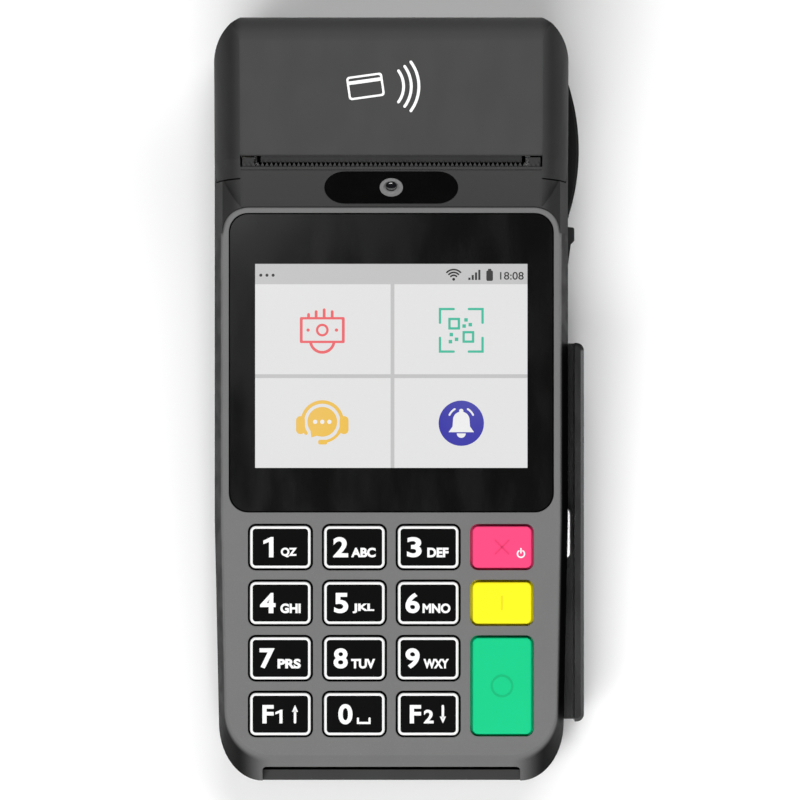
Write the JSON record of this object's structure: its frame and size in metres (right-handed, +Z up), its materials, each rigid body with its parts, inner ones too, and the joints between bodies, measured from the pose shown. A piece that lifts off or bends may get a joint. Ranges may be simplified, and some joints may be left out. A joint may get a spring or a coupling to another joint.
{
  "type": "card payment terminal",
  "caption": "Portable card payment terminal: keypad and display on a sloping face, chip slot at the foot, stripe rail on the right flank, receipt printer with a hinged cover in the head.",
  "frame": {"origin": "middle of the footprint, on the table under the rubber feet", "axes": "+Z up, +Y from the card-slot end to the printer end, +X to the right as the keypad is read"},
  "size_m": [0.0782, 0.1642, 0.056],
  "materials": {
    "face_plastic": "satin",
    "body_plastic": "fine texture",
    "lever_plastic": "satin",
    "rail_plastic": "gloss",
    "display_glass": "polished",
    "lcd_metal": "brushed",
    "window_gloss": "polished",
    "trim_grey": "satin",
    "lens": "polished",
    "module_plastic": "matte",
    "mat_rubber": "matte",
    "board": "satin",
    "battery": "satin",
    "steel": "brushed",
    "antenna": "satin",
    "rubber": "matte",
    "chrome": "polished",
    "tear_black": "matte",
    "aluminium": "satin",
    "gear_plastic": "satin",
    "paper": "matte",
    "core": "matte",
    "key_black": "satin",
    "key_pink": "satin",
    "key_yellow": "satin",
    "key_green": "satin"
  },
  "bodies": {
    "terminal": {"front_frame": "face_plastic", "upper_housing": "body_plastic", "lower_housing": "body_plastic", "battery_cover": "body_plastic", "msr_rail": "rail_plastic", "display_glass": "display_glass", "lcd_module": "lcd_metal", "camera_window": "window_gloss", "camera_ring": "trim_grey", "camera_lens": "lens", "camera_module": "module_plastic", "keypad_mat": "mat_rubber", "keypad_board": "board", "main_board": "board", "card_reader": "module_plastic", "battery_pack": "battery", "case_screws": "steel", "cover_screws": "steel", "board_screws": "steel", "speaker": "module_plastic", "usb_socket": "steel", "rubber_feet": "rubber", "msr_spring": "steel", "lever_pin": "steel", "lever_spring": "steel", "cover_hinge_pin": "steel", "tear_bar": "tear_black", "printer_frame": "steel", "head_springs": "steel", "stepper_motor": "steel"},
    "cover": {"paper_cover": "body_plastic", "platen_bushes": "gear_plastic", "nfc_antenna": "antenna"},
    "platen": {"platen_shaft": "steel", "platen_rubber": "rubber", "platen_gear": "gear_plastic"},
    "idler": {"idler_gear": "gear_plastic"},
    "pinion": {"motor_pinion": "gear_plastic"},
    "roll": {"paper_roll": "paper", "roll_core": "core"},
    "print_head": {"print_head": "aluminium"},
    "lever": {"release_lever": "lever_plastic"},
    "read_head": {"msr_head": "chrome"},
    "flap": {"port_flap": "rubber"},
    "key_1": {"key_1": "key_black"},
    "key_2": {"key_2": "key_black"},
    "key_3": {"key_3": "key_black"},
    "key_4": {"key_4": "key_black"},
    "key_5": {"key_5": "key_black"},
    "key_6": {"key_6": "key_black"},
    "key_7": {"key_7": "key_black"},
    "key_8": {"key_8": "key_black"},
    "key_9": {"key_9": "key_black"},
    "key_0": {"key_0": "key_black"},
    "key_f1": {"key_f1": "key_black"},
    "key_f2": {"key_f2": "key_black"},
    "key_cancel": {"key_cancel": "key_pink"},
    "key_clear": {"key_clear": "key_yellow"},
    "key_enter": {"key_enter": "key_green"}
  },
  "joints": [
    {"name": "cover_hinge", "type": "hinge", "parent": "terminal", "child": "cover", "pos_m": [-0.00165, 0.07524, 0.03396], "axis": [-1, 0, 0], "range_deg": [0, 75]},
    {"name": "platen_spin", "type": "hinge", "parent": "cover", "child": "platen", "pos_m": [-0.00165, 0.05283, 0.04252], "axis": [1, 0, 0], "continuous": true},
    {"name": "idler_spin", "type": "hinge", "parent": "terminal", "child": "idler", "pos_m": [-0.00165, 0.04695, 0.03443], "axis": [1, 0, 0], "continuous": true},
    {"name": "pinion_spin", "type": "hinge", "parent": "terminal", "child": "pinion", "pos_m": [-0.00165, 0.04073, 0.02821], "axis": [1, 0, 0], "continuous": true},
    {"name": "roll_spin", "type": "hinge", "parent": "terminal", "child": "roll", "pos_m": [-0.00165, 0.05967, 0.01894], "axis": [1, 0, 0], "continuous": true},
    {"name": "print_head_tilt", "type": "hinge", "parent": "terminal", "child": "print_head", "pos_m": [-0.00165, 0.04785, 0.03627], "axis": [1, 0, 0], "range_deg": [0, 2.5], "stiffness_Nm_per_rad": 0.5, "springref_deg": -8.59},
    {"name": "lever_pull", "type": "hinge", "parent": "terminal", "child": "lever", "pos_m": [0.03505, 0.03832, 0.02069], "axis": [0, 0.1392, -0.9903], "range_deg": [0, 20], "stiffness_Nm_per_rad": 0.03, "springref_deg": -11.46},
    {"name": "read_head_press", "type": "slide", "parent": "terminal", "child": "read_head", "axis": [-1, 0, 0], "range_m": [0, 0.0005], "stiffness_N_per_m": 400, "springref_m": -0.001},
    {"name": "flap_swing", "type": "hinge", "parent": "terminal", "child": "flap", "pos_m": [0.0353, 0.02634, 0.01901], "axis": [0, 0.1392, -0.9903], "range_deg": [0, 100]},
    {"name": "key_1_press", "type": "slide", "parent": "terminal", "child": "key_1", "axis": [0, 0.1392, -0.9903], "range_m": [0, 0.0008], "stiffness_N_per_m": 300, "springref_m": -0.001},
    {"name": "key_2_press", "type": "slide", "parent": "terminal", "child": "key_2", "axis": [0, 0.1392, -0.9903], "range_m": [0, 0.0008], "stiffness_N_per_m": 300, "springref_m": -0.001},
    {"name": "key_3_press", "type": "slide", "parent": "terminal", "child": "key_3", "axis": [0, 0.1392, -0.9903], "range_m": [0, 0.0008], "stiffness_N_per_m": 300, "springref_m": -0.001},
    {"name": "key_4_press", "type": "slide", "parent": "terminal", "child": "key_4", "axis": [0, 0.1392, -0.9903], "range_m": [0, 0.0008], "stiffness_N_per_m": 300, "springref_m": -0.001},
    {"name": "key_5_press", "type": "slide", "parent": "terminal", "child": "key_5", "axis": [0, 0.1392, -0.9903], "range_m": [0, 0.0008], "stiffness_N_per_m": 300, "springref_m": -0.001},
    {"name": "key_6_press", "type": "slide", "parent": "terminal", "child": "key_6", "axis": [0, 0.1392, -0.9903], "range_m": [0, 0.0008], "stiffness_N_per_m": 300, "springref_m": -0.001},
    {"name": "key_7_press", "type": "slide", "parent": "terminal", "child": "key_7", "axis": [0, 0.1392, -0.9903], "range_m": [0, 0.0008], "stiffness_N_per_m": 300, "springref_m": -0.001},
    {"name": "key_8_press", "type": "slide", "parent": "terminal", "child": "key_8", "axis": [0, 0.1392, -0.9903], "range_m": [0, 0.0008], "stiffness_N_per_m": 300, "springref_m": -0.001},
    {"name": "key_9_press", "type": "slide", "parent": "terminal", "child": "key_9", "axis": [0, 0.1392, -0.9903], "range_m": [0, 0.0008], "stiffness_N_per_m": 300, "springref_m": -0.001},
    {"name": "key_0_press", "type": "slide", "parent": "terminal", "child": "key_0", "axis": [0, 0.1392, -0.9903], "range_m": [0, 0.0008], "stiffness_N_per_m": 300, "springref_m": -0.001},
    {"name": "key_f1_press", "type": "slide", "parent": "terminal", "child": "key_f1", "axis": [0, 0.1392, -0.9903], "range_m": [0, 0.0008], "stiffness_N_per_m": 300, "springref_m": -0.001},
    {"name": "key_f2_press", "type": "slide", "parent": "terminal", "child": "key_f2", "axis": [0, 0.1392, -0.9903], "range_m": [0, 0.0008], "stiffness_N_per_m": 300, "springref_m": -0.001},
    {"name": "key_cancel_press", "type": "slide", "parent": "terminal", "child": "key_cancel", "axis": [0, 0.1392, -0.9903], "range_m": [0, 0.0008], "stiffness_N_per_m": 300, "springref_m": -0.001},
    {"name": "key_clear_press", "type": "slide", "parent": "terminal", "child": "key_clear", "axis": [0, 0.1392, -0.9903], "range_m": [0, 0.0008], "stiffness_N_per_m": 300, "springref_m": -0.001},
    {"name": "key_enter_press", "type": "slide", "parent": "terminal", "child": "key_enter", "axis": [0, 0.1392, -0.9903], "range_m": [0, 0.0008], "stiffness_N_per_m": 300, "springref_m": -0.001}
  ],
  "couplings": [
    {"joint": "idler_spin", "follows": "platen_spin", "ratio": -0.66667},
    {"joint": "pinion_spin", "follows": "platen_spin", "ratio": 1.4286},
    {"joint": "roll_spin", "follows": "platen_spin", "ratio": 0.26667}
  ]
}
